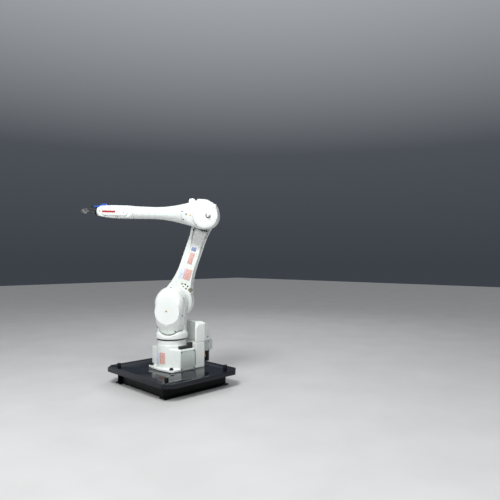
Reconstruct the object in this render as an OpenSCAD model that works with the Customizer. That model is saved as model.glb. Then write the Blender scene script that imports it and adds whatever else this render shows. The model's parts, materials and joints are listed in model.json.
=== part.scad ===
// Six-axis jointed robot arm on a low pedestal, with a small two-finger gripper.
// Frame: +Z up, origin on the floor under the middle of the pedestal, +X out of the front of the base.

/* [Pedestal] */
// Pedestal plate, front to back
plate_x = 602; // [580:2:640]
// Pedestal plate, side to side
plate_y = 730; // [710:2:780]
// Thickness of the pedestal plate
plate_t = 27; // [22:1:32]
// Height of the channel frame under the plate
frame_h = 80; // [70:2:100]
// Channel frame, front to back
frame_x = 508; // [490:2:540]
// Channel frame, side to side
frame_y = 578; // [560:2:640]

/* [Base] */
// Radius of the neck under the swivel
neck_r = 97; // [96:0.5:98]
// Height of the neck's top above the plate
neck_h = 202.7; // [202.2:0.1:203]
// Half width of the base's side boxes
box_half = 135; // [132:1:138]
// Height of the side boxes
box_h = 140; // [134:1:146]

/* [Arm] */
// Height of the shoulder axis above the plate
shoulder_z = 440; // [438:1:450]
// Shoulder axis to elbow axis
upper_len = 625; // [600:5:680]
// Elbow axis to wrist axis
fore_len = 690; // [685:1:700]
// Turn of the arm on its base at rest, in degrees
rest_yaw = -54; // [-80:1:-20]
// Lean of the lower arm at rest, in degrees, backwards negative
rest_lean = -19; // [-25:1:-10]
// Rise of the forearm at rest, in degrees
rest_pitch = 2.5; // [0:0.5:8]

/* [Gripper] */
// Length of the gripper's body
grip_len = 58; // [52:1:62]
// Half of the gap between the fingers at rest
grip_half_gap = 12; // [10:0.5:13]

/* [Hidden] */
$fn = 96;
hull_fn = 48;
gap = 0.3;
run_clear = 0.05;

plate_top = frame_h + plate_t;
plate_chamfer = 55;
flange_w = 64;
flange_t = 7;
web_t = 6;
channel_w = 45;
end_inset = 20;
cross_w = 80;
plate_bolt_at = [frame_x / 2 - 18, frame_y / 2 - 14];
bolt_hole_r = 10;

foot_t = 15;
foot_bolt_at = [[83, 112], [83, -112], [-208, 58], [-208, -58]];
foot_bolt_r = 8;
box_back = -92;
left_box_front = 28;
right_box_front = 66;
core_r = 100;
core_h = 166;
column_back = -190;
column_half = 90;
column_h = 170;
rib_half = 130;
rib_x = [-179, -103];
rear_x = -268;
rear_z = 95;
rear_cover_t = 22;
sweep_r = 156;
wall = 6;
hump_top = 305;
hump_r = 100;
rib_top_r = (rib_x[1] - rib_x[0]) / 2;
flare_r = 90;
rib_mid_x = (rib_x[0] + rib_x[1]) / 2;
rib_arch_z = 257;
reducer1_r = 80;
reducer1_z = 110;
spigot1_r = 60;
spigot1_z = 135;

swivel_z = 203;
swivel_r = 107;
skirt_h = 48;
neck_top = 58;
seal_z = 195;
drum_r = 92;
drum_far = -66;
drum_near = 20;
drum_bore_r = 62;
egg_face_y = 105;
egg_rim_y = 35;
egg_top = [440, 105];
egg_low = [320, 94];
mid_top_y = 80;
mid_top = [436, 97];
mid_low_y = 64;
mid_low = [320, 91];
face_top = [432, 72];
face_low = [386, 84];
plug_at = [4, 390];
// Cover screws: x, height above the plate, and how far out their seats are
cover_screws = [[-7, 541, 38], [-94, 475, 42], [91, 482, 42], [-86, 352, 50], [-31, 245, 56], [62, 262, 50]];

arm_near = -72;
arm_far = -150;
hub_r = 117;
boss_r = 78;
edge = 8;
arm_half_w = 53;
scoop_z = 362;
scoop_tilt = 4.5;
spigot_r = 40;
arm_bore_r = 60;
arm_bore_far = -132;
elbow_spigot_r = 38;

elbow_far = -68;
elbow_near = 72;
elbow_x = -14;
elbow_r = 100;
cap_x = -46;
cap_z = -16;
cap_r = 84;
neck_x = 120;
neck_end_r = 68.5;
fore_start = neck_x + gap * 2;
fore_taper_end = 335;
fore_mid_r = 41;
fore_end = 470;
fork_start = fore_end;
fork_root = fore_len - 75;
fork_half_y = 44;
fork_half_z = 43;
fork_end_r = 38;
slot_half = 33;
pin_r = 12;
cover_y = 51;

knuckle_r = 36;
knuckle_half = slot_half - gap;
barrel_r = 31;
barrel_end = 46;
tool_spigot_r = 15;
flange_r = 29;
flange_end = 54;
adapter_r = 30;
adapter_end = 61;
grip_end = adapter_end + grip_len;
grip_half_y = 32;
grip_half_z = 19;
fitting_x = 94;
fitting_z = 34;
tube_d = 8;
// Route of the air tube in the wrist's own frame: x forwards, z up, from the knuckle to the gripper
tube_route = [[-18, 34], [-18, 40], [-14, 46], [-7, 50], [3, 51.5], [14, 50], [25, 46], [36, 41],
    [47, 37], [59, 35], [72, fitting_z], [fitting_x - 8, fitting_z]];

// Placement
module at_plate() translate([0, 0, plate_top]) children();
module at_swivel() at_plate() rotate([0, 0, rest_yaw]) children();
module at_shoulder() at_swivel() translate([0, 0, shoulder_z]) children();
module at_arm() at_shoulder() rotate([0, rest_lean, 0]) children();
module at_elbow() at_arm() translate([0, 0, upper_len]) rotate([0, -rest_lean - rest_pitch, 0]) children();
module at_wrist() at_elbow() translate([fore_len, 0, 0]) children();

// Cylinders laid along Y and X, and a box between two corners
module ycyl(r, y0, y1, fn = $fn) translate([0, y1, 0]) rotate([90, 0, 0]) cylinder(r = r, h = y1 - y0, $fn = fn);
module xcyl(r, x0, x1, fn = $fn) translate([x0, 0, 0]) rotate([0, 90, 0]) cylinder(r = r, h = x1 - x0, $fn = fn);
module block(lo, hi) translate(lo) cube(hi - lo);
// A disc along Y with both edges chamfered
module soft_disc(r, y0, y1, c) rotate([-90, 0, 0]) rotate_extrude()
    polygon([[0, y0], [r - c, y0], [r, y0 + c], [r, y1 - c], [r - c, y1], [0, y1]]);
module hull_disc(r, y0, y1, c) {
    ycyl(r - c, y0, y1, hull_fn);
    ycyl(r, y0 + c, y1 - c, hull_fn);
}
module rounded_rect(x, y, r) {
    square([x - 2 * r, y], center = true);
    square([x, y - 2 * r], center = true);
    for (i = [-1, 1], j = [-1, 1]) translate([i * (x / 2 - r), j * (y / 2 - r)]) circle(r = r);
}

// Pedestal
module corner_bolts_at() for (i = [-1, 1], j = [-1, 1])
    translate([i * plate_bolt_at[0], j * plate_bolt_at[1], 0]) children();
module foot_bolts_at() for (p = foot_bolt_at) translate([p[0], p[1], 0]) children();
module pedestal_plate() color("#101216") difference() {
    translate([0, 0, frame_h]) linear_extrude(plate_t) polygon([
        [plate_x / 2, plate_y / 2 - plate_chamfer], [plate_x / 2 - plate_chamfer, plate_y / 2],
        [plate_chamfer - plate_x / 2, plate_y / 2], [-plate_x / 2, plate_y / 2 - plate_chamfer],
        [-plate_x / 2, plate_chamfer - plate_y / 2], [plate_chamfer - plate_x / 2, -plate_y / 2],
        [plate_x / 2 - plate_chamfer, -plate_y / 2], [plate_x / 2, plate_chamfer - plate_y / 2]]);
    corner_bolts_at() translate([0, 0, frame_h - 1]) cylinder(r = bolt_hole_r, h = plate_t + 2);
    at_plate() foot_bolts_at() translate([0, 0, -20]) cylinder(r = foot_bolt_r + 1, h = 21);
}
// An I beam along X, its outer flange bored for the plate bolts
module side_beam() translate([0, frame_y / 2 - flange_w / 2, 0]) difference() {
    rotate([90, 0, 90]) linear_extrude(frame_x, center = true) {
        translate([-flange_w / 2, 0]) square([flange_w, flange_t]);
        translate([-flange_w / 2, frame_h - flange_t]) square([flange_w, flange_t]);
        translate([-web_t / 2, 0]) square([web_t, frame_h]);
    }
    for (i = [-1, 1]) translate([i * plate_bolt_at[0], plate_bolt_at[1] - frame_y / 2 + flange_w / 2, frame_h / 2])
        cylinder(r = bolt_hole_r, h = frame_h);
}
// A channel between the two I beams, set back from their ends, web outwards
module end_beam() translate([frame_x / 2 - end_inset, 0, 0]) rotate([90, 0, 0])
    linear_extrude(frame_y - 2 * flange_w, center = true) polygon([
        [0, 0], [0, frame_h], [-channel_w, frame_h], [-channel_w, frame_h - flange_t], [-web_t, frame_h - flange_t],
        [-web_t, flange_t], [-channel_w, flange_t], [-channel_w, 0]]);
module frame_beam_front() color("#15171b") end_beam();
module frame_beam_back() color("#15171b") rotate([0, 0, 180]) end_beam();
module frame_beam_left() color("#15171b") side_beam();
module frame_beam_right() color("#15171b") rotate([0, 0, 180]) side_beam();
module frame_cross_beam() color("#15171b") rotate([90, 0, 0])
    linear_extrude(frame_y - 2 * flange_w, center = true) difference() {
        translate([-cross_w / 2, 0]) square([cross_w, frame_h]);
        translate([web_t - cross_w / 2, web_t]) square([cross_w - 2 * web_t, frame_h]);
    }
module plate_bolts() color("#0b0c0e") corner_bolts_at() {
    translate([0, 0, plate_top]) cylinder(r = 14, h = 24, $fn = 6);
    translate([0, 0, frame_h - flange_t - 14]) cylinder(r = bolt_hole_r - 1, h = plate_t + flange_t + 15);
    translate([0, 0, frame_h - flange_t - 10]) cylinder(r = 12, h = 10, $fn = 6);
}

// Base
module base_casting() color("#eef1ee") at_plate() difference() {
    union() {
        linear_extrude(foot_t) hull() {
            translate([20, 0]) circle(r = 96);
            for (j = [-1, 1]) {
                translate([77, j * 110]) circle(r = 26, $fn = hull_fn);
                translate([-206, j * 58]) circle(r = 22, $fn = hull_fn);
                translate([-150, j * 106]) circle(r = 24, $fn = hull_fn);
            }
        }
        hull() {
            cylinder(r = core_r, h = box_h, $fn = hull_fn * 2);
            block([box_back, 60, 0], [left_box_front, box_half, box_h - 4]);
            block([box_back, 60, 0], [left_box_front - 3, box_half - 4, box_h]);
        }
        block([box_back, -box_half, 0], [right_box_front, -60, box_h]);
        cylinder(r = core_r, h = core_h - 4);
        translate([0, 0, core_h - 4]) cylinder(r1 = core_r, r2 = core_r - 4, h = 4);
        cylinder(r = neck_r, h = neck_h);
        block([column_back, -column_half, 0], [-80, column_half, column_h]);
        block([rib_x[0], -rib_half, 0], [rib_x[1], rib_half, column_h]);
        block([rib_x[0], -column_half, 0], [box_back, column_half, column_h]);
        translate([(rear_x - 80) / 2, 0, rear_z]) linear_extrude(column_h - rear_z)
            rounded_rect(-80 - rear_x, 2 * column_half, 12);
    }
    translate([0, 0, reducer1_z]) cylinder(r = reducer1_r, h = 100);
    difference() {
        translate([0, 0, column_h - 4]) cylinder(r = sweep_r - 1, h = 50);
        translate([0, 0, column_h - 10]) cylinder(r = core_r, h = 80);
    }
    foot_bolts_at() translate([0, 0, -1]) cylinder(r = foot_bolt_r + 1, h = foot_t + 2);
}
module foot_bolts() color("#0b0c0e") at_plate() foot_bolts_at() {
    translate([0, 0, foot_t]) cylinder(r = 14, h = 4);
    translate([0, 0, foot_t + 4]) cylinder(r = 12, h = 10, $fn = 6);
    translate([0, 0, -18]) cylinder(r = foot_bolt_r, h = foot_t + 19);
}
module side_cover() translate([-30, box_half, 68]) rotate([-90, 0, 0]) linear_extrude(3) difference() {
    rounded_rect(116, 124, 5);
    side_screws_2d(2.6);
}
module side_screws_2d(r) for (i = [-1, 1], j = [-1, 1]) translate([i * 51, j * 55]) circle(r = r);
module side_cover_left() color("#c9d2cd") at_plate() side_cover();
module side_cover_right() color("#c9d2cd") at_plate() mirror([0, 1, 0]) side_cover();
module side_cover_screws() color("#4a4f50") at_plate() for (m = [0, 1]) mirror([0, m, 0])
    translate([-30, box_half, 68]) rotate([-90, 0, 0]) {
        linear_extrude(3) side_screws_2d(2.5);
        translate([0, 0, 3]) linear_extrude(2) side_screws_2d(4.5);
    }
// The label is a thin shell on the round front
module base_label() color("#d9b7b4") at_plate() translate([0, 0, 42]) difference() {
    intersection() {
        cylinder(r = core_r + 0.8, h = 76);
        linear_extrude(76) polygon([[0, 0], [130, -30], [130, 72]]);
    }
    translate([0, 0, -1]) cylinder(r = core_r, h = 78);
}
module stop_block() color("#0e0f11") at_plate() {
    block([box_back + 16, 102, box_h], [left_box_front - 6, 130, box_h + 18]);
    block([box_back + 16, 110, box_h + 18], [-38, 130, box_h + 38]);
}
module hump_shape(in) difference() {
    union() {
        block([rear_x + in, in - column_half, column_h], [-100, column_half - in, hump_top - hump_r]);
        block([rear_x + hump_r, in - column_half, column_h], [-100, column_half - in, hump_top - in]);
        intersection() {
            translate([rear_x + hump_r, 0, hump_top - hump_r]) ycyl(hump_r - in, in - column_half, column_half - in);
            block([rear_x, -column_half, column_h], [0, column_half, hump_top]);
        }
    }
    translate([0, 0, column_h - 1]) cylinder(r = sweep_r + in, h = 200);
}
// Tapers from the rib's width to the rear end's
module hump_flare() intersection() {
    upright(-rib_half, rib_half) {
        translate([rear_x + flare_r, rib_arch_z + rib_top_r - flare_r]) circle(r = flare_r);
        translate([rear_x, column_h]) square([rib_mid_x - rear_x, rib_arch_z + rib_top_r - flare_r - column_h]);
    }
    translate([0, 0, column_h]) linear_extrude(200) polygon([[rib_mid_x, -rib_half], [rib_x[0], -rib_half],
        [rear_x + 6, -column_half - 2], [rear_x, 4 - column_half], [rear_x, column_half - 4],
        [rear_x + 6, column_half + 2], [rib_x[0], rib_half], [rib_mid_x, rib_half]]);
}
module harness_housing() color("#eef1ee") at_plate() difference() {
    union() {
        hump_shape(0);
        difference() {
            union() {
                block([rib_x[0], -rib_half, column_h], [rib_x[1], rib_half, rib_arch_z]);
                translate([rib_mid_x, 0, rib_arch_z]) ycyl(rib_top_r, -rib_half, rib_half);
                hump_flare();
            }
            translate([0, 0, column_h - 1]) cylinder(r = sweep_r, h = 200);
        }
    }
    translate([0, 0, -1]) hump_shape(wall);
}
module rear_box_covers() color("#d3dad6") at_plate() {
    for (m = [0, 1]) mirror([0, m, 0])
        block([rear_x + 14, column_half, rear_z + 4], [rib_x[0] - 6, column_half + 3, column_h - 4]);
    block([rear_x - rear_cover_t, -84, rear_z + 5], [rear_x, 84, column_h - 2]);
}
module rear_connectors() color("#17191c") at_plate() for (j = [-1, 1]) translate([-247, j * 69, rear_z]) {
    translate([0, 0, -10]) cylinder(r = 20, h = 10);
    translate([0, 0, -72]) cylinder(r = 18, h = 62);
}
module air_fittings() color("#b08d4f") at_plate() for (j = [-1, 1]) translate([-218, j * 80, rear_z]) {
    translate([0, 0, -26]) cylinder(r = 5, h = 26);
    translate([0, 0, -40]) cylinder(r = 8.5, h = 14, $fn = 6);
}
module jt1_motor() color("#2c3036") at_plate() translate([-212, 0, column_h]) {
    linear_extrude(10) rounded_rect(84, 84, 8);
    translate([0, 0, 10]) cylinder(r = 38, h = 56);
    translate([0, 0, 66]) cylinder(r = 30, h = 16);
}
module jt1_reducer() color("#9ba0a3") at_plate() translate([0, 0, reducer1_z]) difference() {
    cylinder(r = reducer1_r, h = swivel_z - reducer1_z - 1);
    translate([0, 0, 15]) cylinder(r = spigot1_r + run_clear, h = 80);
}
module swivel_seal() color("#141516") at_plate() translate([0, 0, seal_z]) difference() {
    cylinder(r = neck_r + 1.5, h = neck_h - seal_z - gap);
    translate([0, 0, -1]) cylinder(r = neck_r, h = 20);
}

// Swivel, turned by joint 1
module swivel_casting() color("#eef1ee") at_swivel() difference() {
    union() {
        rotate_extrude() polygon([[0, swivel_z], [swivel_r - 2, swivel_z], [swivel_r, swivel_z + 2],
            [swivel_r, swivel_z + 28], [swivel_r - 2, swivel_z + 36], [swivel_r - 6, swivel_z + 43],
            [swivel_r - 12, swivel_z + skirt_h], [0, swivel_z + skirt_h]]);
        translate([0, 0, spigot1_z]) cylinder(r = spigot1_r, h = swivel_z - spigot1_z + 1);
        hull() {
            intersection() {
                translate([0, 0, swivel_z + 15]) cylinder(r = swivel_r - 12, h = neck_top - 15, $fn = hull_fn * 2);
                block([-swivel_r, drum_far + 2, swivel_z + 15], [swivel_r, drum_near - 2, swivel_z + neck_top]);
            }
            translate([0, 0, shoulder_z]) ycyl(drum_r, drum_far + 2, drum_near - 2, hull_fn * 2);
        }
        translate([0, 0, shoulder_z]) ycyl(drum_r, drum_far, drum_near);
    }
    translate([0, 0, shoulder_z]) {
        ycyl(drum_bore_r, drum_far - 1, drum_near + 1);
        cover_pocket();
    }
}
// A disc along Y given by its height above the plate and its radius
module level_disc(at, in, y0, y1) translate([0, 0, at[0] - shoulder_z]) ycyl(at[1] - in, y0, y1, hull_fn * 2);
module cover_pocket() hull() {
    level_disc(egg_top, -gap, drum_near, swivel_r + 5);
    level_disc(egg_low, -gap, drum_near, swivel_r + 5);
}
module egg(in, y0, y1) hull() {
    level_disc(egg_top, in, y0, egg_rim_y - in);
    level_disc(egg_low, in, y0, egg_rim_y - in);
    level_disc(mid_top, in, egg_rim_y, mid_top_y - in);
    level_disc(mid_low, in, egg_rim_y, mid_low_y - in);
    level_disc(face_top, in, y1 - 4, y1 - 3);
    level_disc(face_top, in + 3, y1 - 4, y1);
    level_disc(face_low, in, y1 - 4, y1 - 3);
    level_disc(face_low, in + 3, y1 - 4, y1);
}
module cover_screws_at(r, depth) for (s = cover_screws) translate([s[0], 0, s[1] - shoulder_z])
    ycyl(r, s[2], s[2] + depth, 24);
module shoulder_cover() color("#f1f4f2") at_shoulder() difference() {
    egg(0, drum_near, egg_face_y);
    egg(wall, drum_near - 1, egg_face_y - wall);
    cover_screws_at(5.5, 80);
    translate([plug_at[0], 0, plug_at[1] - shoulder_z]) ycyl(5, egg_face_y - wall - 1, egg_face_y + 1, 24);
}
module shoulder_cover_screws() color("#6d7375") at_shoulder() cover_screws_at(5, 4);
module shoulder_plug() color("#b3925a") at_shoulder() translate([plug_at[0], 0, plug_at[1] - shoulder_z]) {
    ycyl(4.9, egg_face_y - wall, egg_face_y, 24);
    ycyl(7.5, egg_face_y, egg_face_y + 3, 24);
}
module jt2_reducer() color("#9ba0a3") at_shoulder() difference() {
    ycyl(drum_bore_r, drum_far, -18);
    ycyl(spigot_r + run_clear, drum_far - 1, -24);
}
module jt2_motor() color("#2c3036") at_shoulder() {
    ycyl(drum_bore_r, -18, -8);
    ycyl(46, -8, 66);
    ycyl(36, 66, 92);
}
module shoulder_seal() color("#3b3427") at_shoulder() difference() {
    ycyl(drum_r - 4, drum_far - 5, drum_far);
    ycyl(drum_bore_r + 8, drum_far - 6, drum_far + 1);
}

// Lower arm, swung by joint 2
function arm_half(z) = arm_half_w + (z < 260 ? 52 * pow((260 - z) / 220, 2) : 0) + (z > 440 ? 22 * pow((z - 440) / 150, 2) : 0);
arm_levels = [for (i = [0:22]) 40 + i * 25];
module arm_plan() polygon(concat([for (z = arm_levels) [arm_half(z), z]],
    [for (i = [len(arm_levels) - 1:-1:0]) [-arm_half(arm_levels[i]), arm_levels[i]]]));
// A plan in X and Z, made solid from y0 to y1
module upright(y0, y1) translate([0, y1, 0]) rotate([90, 0, 0]) linear_extrude(y1 - y0) children();
module scoop() intersection() {
    upright(arm_near - 20, arm_near + 20) difference() {
        polygon([[18, scoop_z - 2], [-90, scoop_z + 4], [-90, 560], [39, 560], [39, 490]]);
        translate([0, upper_len]) circle(r = boss_r + 12);
    }
    translate([0, arm_near, scoop_z]) rotate([scoop_tilt, 0, 0]) block([-100, 0, -10], [100, 40, 300]);
}
module lower_arm_casting() color("#eef1ee") at_arm() difference() {
    union() {
        soft_disc(hub_r, arm_far, arm_near, edge);
        upright(arm_far + 3, arm_near) arm_plan();
        translate([0, 0, upper_len]) soft_disc(boss_r, arm_far, arm_near, edge);
        ycyl(spigot_r, arm_near - 1, -26);
    }
    translate([0, 0, upper_len]) ycyl(arm_bore_r, arm_bore_far, arm_near + 1);
    scoop();
    ycyl(arm_bore_r, arm_far - 1, arm_far + 30);
    hull() for (z = [135, 515]) translate([0, 0, z]) ycyl(40, arm_far + 10, arm_near - 22, hull_fn);
    block([-120, -132, 190], [6 - arm_half_w, -88, 470]);
    upright(-124, arm_near + 1) polygon([[-57, 102], [-86, 150], [-140, 150], [-140, 78], [-92, 80]]);
    for (p = port_at) translate([p[0], 0, p[1]]) ycyl(p[2], arm_near - 12, arm_near + 1, 32);
}
port_at = [[-7, 130, 7], [-20, 113, 5], [-29, 132, 6], [-50, 125, 6], [-44, 107, 6]];
module arm_port_plugs() color("#a98a52") at_arm() {
    translate([port_at[0][0], 0, port_at[0][1]]) ycyl(port_at[0][2] - 0.1, arm_near - 12, arm_near - 1, 32);
    translate([-74, 0, 104]) {
        ycyl(7.5, -124, -112, 6);
        ycyl(5.5, -112, -94, 32);
    }
}
module arm_end_caps() color("#e3e8e5") at_arm() {
    ycyl(arm_bore_r, arm_far, arm_far + 30);
    soft_disc(88, arm_far - 7, arm_far, 3);
    translate([0, 0, upper_len]) soft_disc(62, arm_far - 6, arm_far, 3);
}
module arm_labels() color("#d8b0a4") at_arm() {
    block([-48, arm_near, 163], [35, arm_near + 0.8, 242]);
    block([-27, arm_near, 275], [7, arm_near + 0.8, 357]);
    translate([0, arm_near, scoop_z]) rotate([scoop_tilt, 0, 0]) block([-25, 0, 5], [11, 0.8, 34]);
}
module jt3_reducer() color("#9ba0a3") at_arm() translate([0, 0, upper_len]) difference() {
    ycyl(arm_bore_r, arm_bore_far, arm_near - 1);
    ycyl(elbow_spigot_r + run_clear, arm_bore_far + 8, arm_near);
}

// Elbow, swung by joint 3
module at_cap() translate([cap_x, 0, cap_z]) children();
module elbow_housing() color("#eef1ee") at_elbow() difference() {
    union() {
        translate([elbow_x, 0, 0]) soft_disc(elbow_r, elbow_far, 45, 10);
        ycyl(elbow_spigot_r, arm_bore_far + 12, elbow_far + 1);
        hull() {
            translate([elbow_x, 0, 0]) hull_disc(elbow_r, -40, 40, 10);
            at_cap() hull_disc(cap_r, 0, elbow_near, 5);
        }
        hull() {
            hull_disc(92, -56, 48, 8);
            xcyl(neck_end_r, neck_x - 14, neck_x, hull_fn * 2);
        }
        hull() for (p = [[52, 74], [76, 70], [58, 93], [74, 93]]) translate([p[0], 0, p[1]]) ycyl(10, -24, 24, hull_fn);
        hull() for (x = [6, 22]) translate([x, 0, 94]) ycyl(8, -22, 22, hull_fn);
        translate([-92, 0, 62]) ycyl(9, -8, 8, hull_fn);
    }
    at_cap() ycyl(cap_r - 8, 4, elbow_near + 1);
    translate([elbow_x, 0, 0]) ycyl(82, -56, 5);
    xcyl(46, 0, neck_x - 44);
    xcyl(55, neck_x - 45, neck_x + 1);
}
module elbow_cap() color("#f1f4f2") at_elbow() at_cap() rotate([-90, 0, 0]) rotate_extrude()
    polygon([[0, elbow_near], [cap_r - 1, elbow_near], [cap_r - 1, elbow_near + 5], [cap_r - 5, elbow_near + 9],
        [cap_r - 20, elbow_near + 13], [0, elbow_near + 13]]);
cap_face = elbow_near + 13;
module breather_ring() color("#121315") at_elbow() translate([-67, 0, -13]) difference() {
    ycyl(16, cap_face, cap_face + 5);
    ycyl(12, cap_face - 1, cap_face + 6);
}
module breather_plug() color("#f4f6f6") at_elbow() translate([-72, 0, -10]) {
    ycyl(5.8, cap_face, cap_face + 6);
    intersection() {
        translate([0, cap_face + 11, 0]) sphere(r = 12, $fn = 48);
        ycyl(14, cap_face + 5.2, cap_face + 30);
    }
}
module jt3_motor() color("#2c3036") at_elbow() at_cap() {
    ycyl(34, -50, 56);
    ycyl(28, 56, 68);
}
module jt4_motor() color("#2c3036") at_elbow() {
    xcyl(38, -8, neck_x - 56);
    xcyl(45, neck_x - 56, neck_x - 45);
}
module jt4_reducer() color("#9ba0a3") at_elbow() difference() {
    xcyl(55, neck_x - 45, neck_x - 1);
    xcyl(35 + run_clear, neck_x - 39, neck_x);
}

// Forearm, rolled by joint 4
function fore_r(x) = x > fore_taper_end ? fore_mid_r + 2 * (x - fore_taper_end) / (fore_end - fore_taper_end)
    : fore_mid_r + (neck_end_r - fore_mid_r) * pow((fore_taper_end - x) / (fore_taper_end - fore_start), 1.9);
fore_steps = [for (i = [0:20]) fore_start + i * (fore_taper_end - fore_start) / 20];
module forearm_tube() color("#eef1ee") at_elbow() difference() {
    union() {
        rotate([0, 90, 0]) rotate_extrude() polygon(concat([[0, fore_start]],
            [for (x = fore_steps) [fore_r(x), x]], [[fore_r(fore_end), fore_end], [0, fore_end]]));
        xcyl(35, neck_x - 35, fore_start + 1);
    }
    rotate([0, 90, 0]) rotate_extrude() polygon(concat([[0, fore_start + 8]],
        [for (x = fore_steps) if (x > fore_start + 8) [fore_r(x) - wall, x]], [[35, fore_end + 1], [0, fore_end + 1]]));
    xcyl(18, neck_x - 36, fore_start + 20);
}
module wrist_fork() color("#f1f4f2") at_elbow() difference() {
    union() {
        hull() {
            xcyl(fore_r(fore_end), fork_start, fork_start + 10, hull_fn * 2);
            block([fork_start + 30, -fork_half_y, 10 - fork_half_z], [fork_start + 60, fork_half_y, fork_half_z - 10]);
            block([fork_start + 30, 8 - fork_half_y, -fork_half_z], [fork_start + 60, fork_half_y - 8, fork_half_z]);
        }
        hull() {
            block([fork_start + 55, -fork_half_y, 10 - fork_half_z], [fork_root, fork_half_y, fork_half_z - 10]);
            block([fork_start + 55, 8 - fork_half_y, -fork_half_z], [fork_root, fork_half_y - 8, fork_half_z]);
            translate([fore_len, 0, 0]) ycyl(fork_end_r - 4, -fork_half_y, fork_half_y, hull_fn);
            translate([fore_len, 0, 0]) ycyl(fork_end_r, 4 - fork_half_y, fork_half_y - 4, hull_fn);
        }
    }
    block([fork_root, -slot_half, -60], [fore_len + 80, slot_half, 60]);
    translate([fore_len, 0, 0]) ycyl(pin_r + run_clear, -60, 60);
    xcyl(30, fork_start - 1, fork_root - 20);
}
module wrist_cover() hull() for (p = [[528, 26], [fore_len - 18, 25]]) translate([p[0], 0, -3]) {
    ycyl(p[1], fork_half_y, cover_y - 3, hull_fn);
    ycyl(p[1] - 4, fork_half_y, cover_y, hull_fn);
}
module wrist_cover_near() color("#f4f6f5") at_elbow() wrist_cover();
module wrist_cover_far() color("#f4f6f5") at_elbow() mirror([0, 1, 0]) wrist_cover();
module accent_strip() color("#c0242b") at_elbow() block([590, cover_y, -9], [686, cover_y + 0.6, 4]);
module wrist_motor() {
    xcyl(18, 162, 236);
    xcyl(14, 236, 250);
}
module jt5_motor() color("#2c3036") at_elbow() translate([0, 20, 0]) wrist_motor();
module jt6_motor() color("#2c3036") at_elbow() translate([0, -20, 0]) wrist_motor();

// Wrist knuckle, bent by joint 5
module wrist_knuckle() color("#e6eae8") at_wrist() difference() {
    union() {
        soft_disc(knuckle_r, -knuckle_half, knuckle_half, 2);
        ycyl(pin_r, 0.1 - fork_half_y, fork_half_y - 0.1);
        xcyl(barrel_r, 0, barrel_end);
    }
    xcyl(tool_spigot_r + run_clear, barrel_end - 22, barrel_end + 1);
    translate([-18, 0, 10]) cylinder(r = 5, h = 30);
}
module knuckle_fitting() color("#17191c") at_wrist() translate([-18, 0, 10]) cylinder(r = 4.9, h = 24);

// Tool, rolled by joint 6
module tool_flange() color("#7d8286") at_wrist() {
    xcyl(tool_spigot_r, barrel_end - 20, barrel_end + 1);
    xcyl(flange_r, barrel_end + gap, flange_end);
}
module gripper_adapter() color("#33373c") at_wrist() xcyl(adapter_r, flange_end, adapter_end);
module gripper_body() color("#4c5157") at_wrist() difference() {
    union() {
        block([adapter_end, -grip_half_y, 4 - grip_half_z], [grip_end, grip_half_y, grip_half_z - 4]);
        block([adapter_end, 4 - grip_half_y, -grip_half_z], [grip_end, grip_half_y - 4, grip_half_z]);
    }
    block([adapter_end + 10, grip_half_y - 5, -5], [grip_end - 24, 60, 9]);
    block([adapter_end + 10, -60, -5], [grip_end - 24, 5 - grip_half_y, 9]);
    block([grip_end - 16, -60, -11.2], [grip_end - 8, 60, 11.2]);
    block([grip_end - 9, -60, -8.4], [grip_end + 1, 60, 8.4]);
}
module gripper_fitting() color("#17191c") at_wrist() translate([fitting_x, 0, grip_half_z]) {
    cylinder(r = 8, h = 4, $fn = 6);
    cylinder(r = 5.5, h = fitting_z - grip_half_z);
    translate([0, 0, fitting_z - grip_half_z]) xcyl(6, -8, 6);
}
module jaw() difference() {
    union() {
        block([grip_end - 15.8, grip_half_gap + 1, -11], [grip_end - 8.2, grip_half_gap + 14, 11]);
        block([grip_end - 9, grip_half_gap + 1, -8.2], [grip_end + 10, grip_half_gap + 14, 8.2]);
        translate([0, grip_half_gap + 14, 0]) rotate([90, 0, 0]) linear_extrude(14) polygon([
            [grip_end + gap, -18], [grip_end + 28, -18], [grip_end + 42, -9], [grip_end + 60, -6],
            [grip_end + 60, 6], [grip_end + 42, 9], [grip_end + 28, 18], [grip_end + gap, 18]]);
    }
    translate([grip_end + 17, 0, 0]) ycyl(7, grip_half_gap + 8, grip_half_gap + 20);
}
module jaw_left() color("#c7cbce") at_wrist() jaw();
module jaw_right() color("#c7cbce") at_wrist() mirror([0, 1, 0]) jaw();

// Air tube: one ring of points at each point of its route
tube_sides = 10;
function tube_dir(i) = let (a = tube_route[max(i - 1, 0)], b = tube_route[min(i + 1, len(tube_route) - 1)])
    (b - a) / norm(b - a);
function tube_ring(i) = let (p = tube_route[i], t = tube_dir(i)) [for (k = [0:tube_sides - 1])
    let (c = tube_d / 2 * cos(k * 360 / tube_sides), s = tube_d / 2 * sin(k * 360 / tube_sides))
    [p[0] - t[1] * c, s, p[1] + t[0] * c]];
module air_tube() color("#1f5fd0") at_wrist() polyhedron(
    points = [for (i = [0:len(tube_route) - 1]) each tube_ring(i)],
    faces = concat([[for (k = [0:tube_sides - 1]) k]],
        [for (i = [0:len(tube_route) - 2], k = [0:tube_sides - 1]) let (n = (k + 1) % tube_sides, b = i * tube_sides)
            [b + k, b + k + tube_sides, b + n + tube_sides, b + n]],
        [[for (k = [tube_sides - 1:-1:0]) (len(tube_route) - 1) * tube_sides + k]]));

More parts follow.
